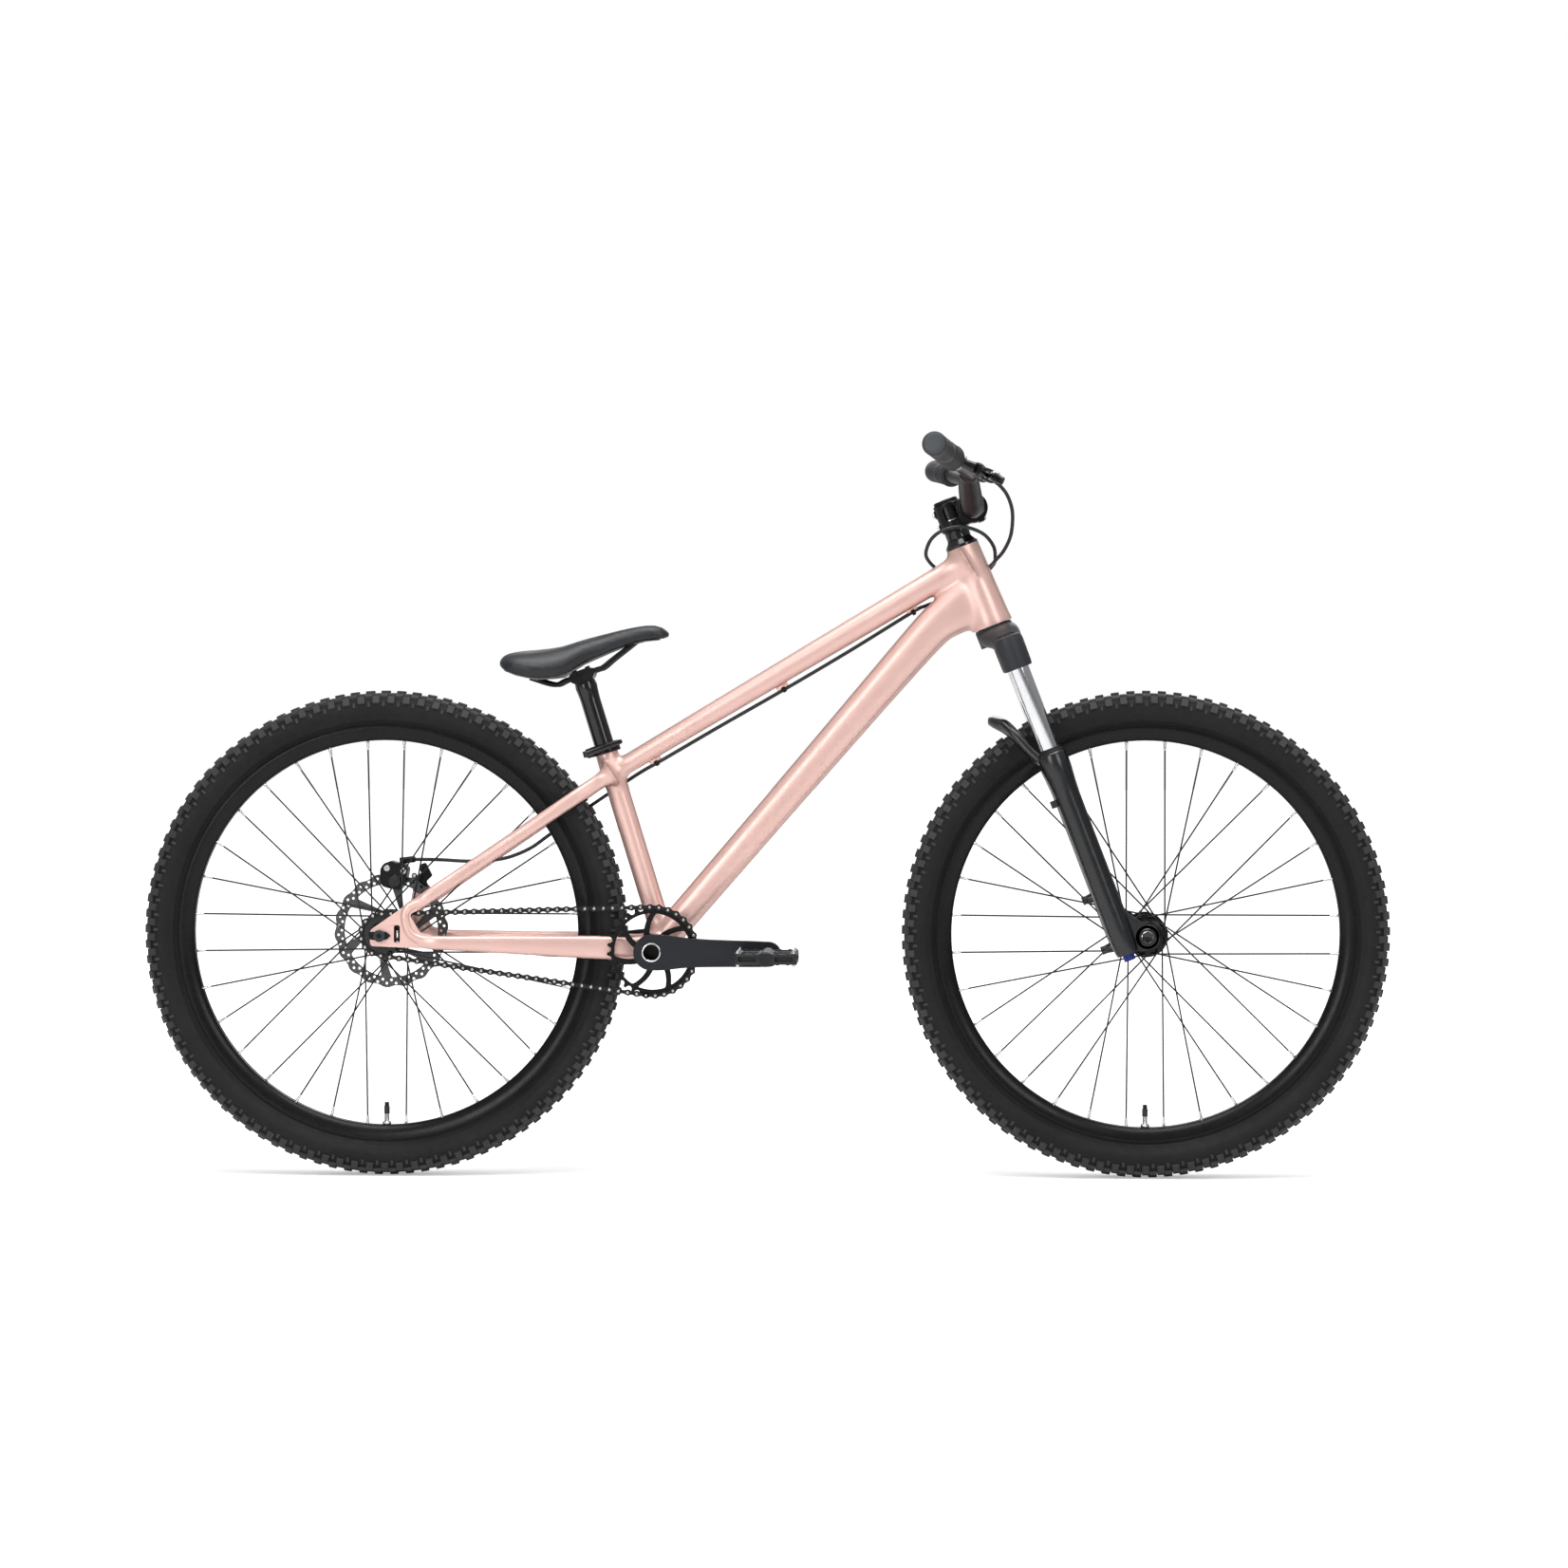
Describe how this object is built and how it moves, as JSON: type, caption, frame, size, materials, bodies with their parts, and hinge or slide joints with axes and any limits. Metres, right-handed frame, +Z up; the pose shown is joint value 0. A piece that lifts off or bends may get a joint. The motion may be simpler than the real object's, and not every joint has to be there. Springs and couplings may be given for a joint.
{
  "type": "dirt jump bicycle",
  "caption": "Hardtail dirt jump bicycle: welded frame, short-travel suspension fork, rear disc brake, one-gear chain drive, riser bar, flat pedals and a low tilted saddle.",
  "frame": {"origin": "on the ground, halfway between the two wheel axles, in the centre plane", "axes": "+X forward, +Y to the rider's left, +Z up; the chain drive is on the -Y side"},
  "size_m": [1.718, 0.7706, 1.0049],
  "materials": {
    "frame_paint": "satin metallic rose",
    "black_paint": "satin",
    "crown_grey": "satin dark grey",
    "dark_alloy": "satin anodised",
    "stanchion_chrome": "polished",
    "steel": "brushed",
    "chain_steel": "oiled",
    "tyre_rubber": "matte",
    "rubber": "matte",
    "grip_rubber": "matte",
    "black_plastic": "matte",
    "saddle_cover": "smooth satin",
    "bar_alloy": "satin",
    "blue_anodised": "satin anodised"
  },
  "bodies": {
    "frame": {"head_tube": "frame_paint", "headset_bearing_lower": "steel", "headset_bearing_upper": "steel", "top_tube": "frame_paint", "down_tube": "frame_paint", "seat_tube": "frame_paint", "bottom_bracket_shell": "frame_paint", "chainstay_left": "frame_paint", "chainstay_right": "frame_paint", "seatstay_left": "frame_paint", "seatstay_right": "frame_paint", "bracket_cup_left": "black_paint", "bracket_cup_right": "black_paint", "seat_collar": "black_paint", "seatpost": "black_paint", "seatpost_clamp": "black_paint", "saddle_rails": "black_paint", "saddle": "saddle_cover", "rear_axle": "black_paint", "brake_caliper": "black_paint", "caliper_bracket": "black_paint", "brake_hose": "rubber", "chain": "chain_steel"},
    "seat_lever": {"seat_clamp_lever": "black_paint"},
    "steering": {"fork_crown": "crown_grey", "stanchion_left": "stanchion_chrome", "stanchion_right": "stanchion_chrome", "headset_spacer": "black_paint", "stem": "black_paint", "stem_faceplate": "black_paint", "top_cap": "black_paint", "handlebar": "bar_alloy", "grip_left": "grip_rubber", "grip_right": "grip_rubber", "brake_lever_body": "black_paint"},
    "brake_lever": {"brake_lever": "black_paint"},
    "lowers": {"fork_lowers": "black_paint", "front_axle": "black_paint"},
    "rebound_knob": {"rebound_knob": "blue_anodised"},
    "front_wheel": {"front_tyre": "tyre_rubber", "front_inner_tube": "rubber", "front_rim": "black_paint", "front_spokes_left": "steel", "front_spokes_right": "steel", "front_hub": "black_paint"},
    "rear_wheel": {"rear_tyre": "tyre_rubber", "rear_inner_tube": "rubber", "rear_rim": "black_paint", "rear_spokes_left": "steel", "rear_spokes_right": "steel", "rear_hub": "black_paint", "brake_disc": "steel"},
    "rear_cog": {"rear_cog": "steel"},
    "crankset": {"crank_arm_right": "dark_alloy", "crank_arm_left": "dark_alloy", "chainring": "black_paint", "pedal_axle_right": "steel", "pedal_axle_left": "steel"},
    "pedal_right": {"pedal_right": "black_plastic"},
    "pedal_left": {"pedal_left": "black_plastic"}
  },
  "joints": [
    {"name": "steering_turn", "type": "hinge", "parent": "frame", "child": "steering", "pos_m": [0.48292, 0, 0.31923], "axis": [-0.3584, 0, 0.9336], "range_deg": [-90, 90], "deforming": ["brake_hose"]},
    {"name": "fork_travel", "type": "slide", "parent": "steering", "child": "lowers", "axis": [-0.3584, 0, 0.9336], "range_m": [0, 0.1], "stiffness_N_per_m": 6500},
    {"name": "front_wheel_spin", "type": "hinge", "parent": "lowers", "child": "front_wheel", "pos_m": [0.524, 0, 0.335], "axis": [0, 1, 0], "continuous": true},
    {"name": "rear_wheel_spin", "type": "hinge", "parent": "frame", "child": "rear_wheel", "pos_m": [-0.524, 0, 0.335], "axis": [0, 1, 0], "continuous": true},
    {"name": "crank_spin", "type": "hinge", "parent": "frame", "child": "crankset", "pos_m": [-0.15165, 0, 0.313], "axis": [0, 1, 0], "continuous": true, "deforming": ["chain"]},
    {"name": "cog_spin", "type": "hinge", "parent": "frame", "child": "rear_cog", "pos_m": [-0.524, 0, 0.335], "axis": [0, 1, 0], "continuous": true},
    {"name": "pedal_right_spin", "type": "hinge", "parent": "crankset", "child": "pedal_right", "pos_m": [0.00834, -0.133, 0.31077], "axis": [0, 1, 0], "continuous": true},
    {"name": "pedal_left_spin", "type": "hinge", "parent": "crankset", "child": "pedal_left", "pos_m": [-0.31163, 0.133, 0.31523], "axis": [0, 1, 0], "continuous": true},
    {"name": "brake_lever_pull", "type": "hinge", "parent": "steering", "child": "brake_lever", "pos_m": [0.30837, -0.204, 0.95533], "axis": [-0.3907, 0, -0.9205], "range_deg": [0, 16], "stiffness_Nm_per_rad": 1.5, "springref_deg": -5.73},
    {"name": "seat_lever_swing", "type": "hinge", "parent": "frame", "child": "seat_lever", "pos_m": [-0.24396, -0.0178, 0.5828], "axis": [0.2924, 0, -0.9563], "range_deg": [0, 150]},
    {"name": "rebound_turn", "type": "hinge", "parent": "lowers", "child": "rebound_knob", "pos_m": [0.4976, -0.065, 0.31169], "axis": [0.3584, 0, -0.9336], "range_deg": [-180, 180]}
  ],
  "couplings": [
    {"joint": "cog_spin", "follows": "crank_spin", "ratio": 2.1429}
  ]
}
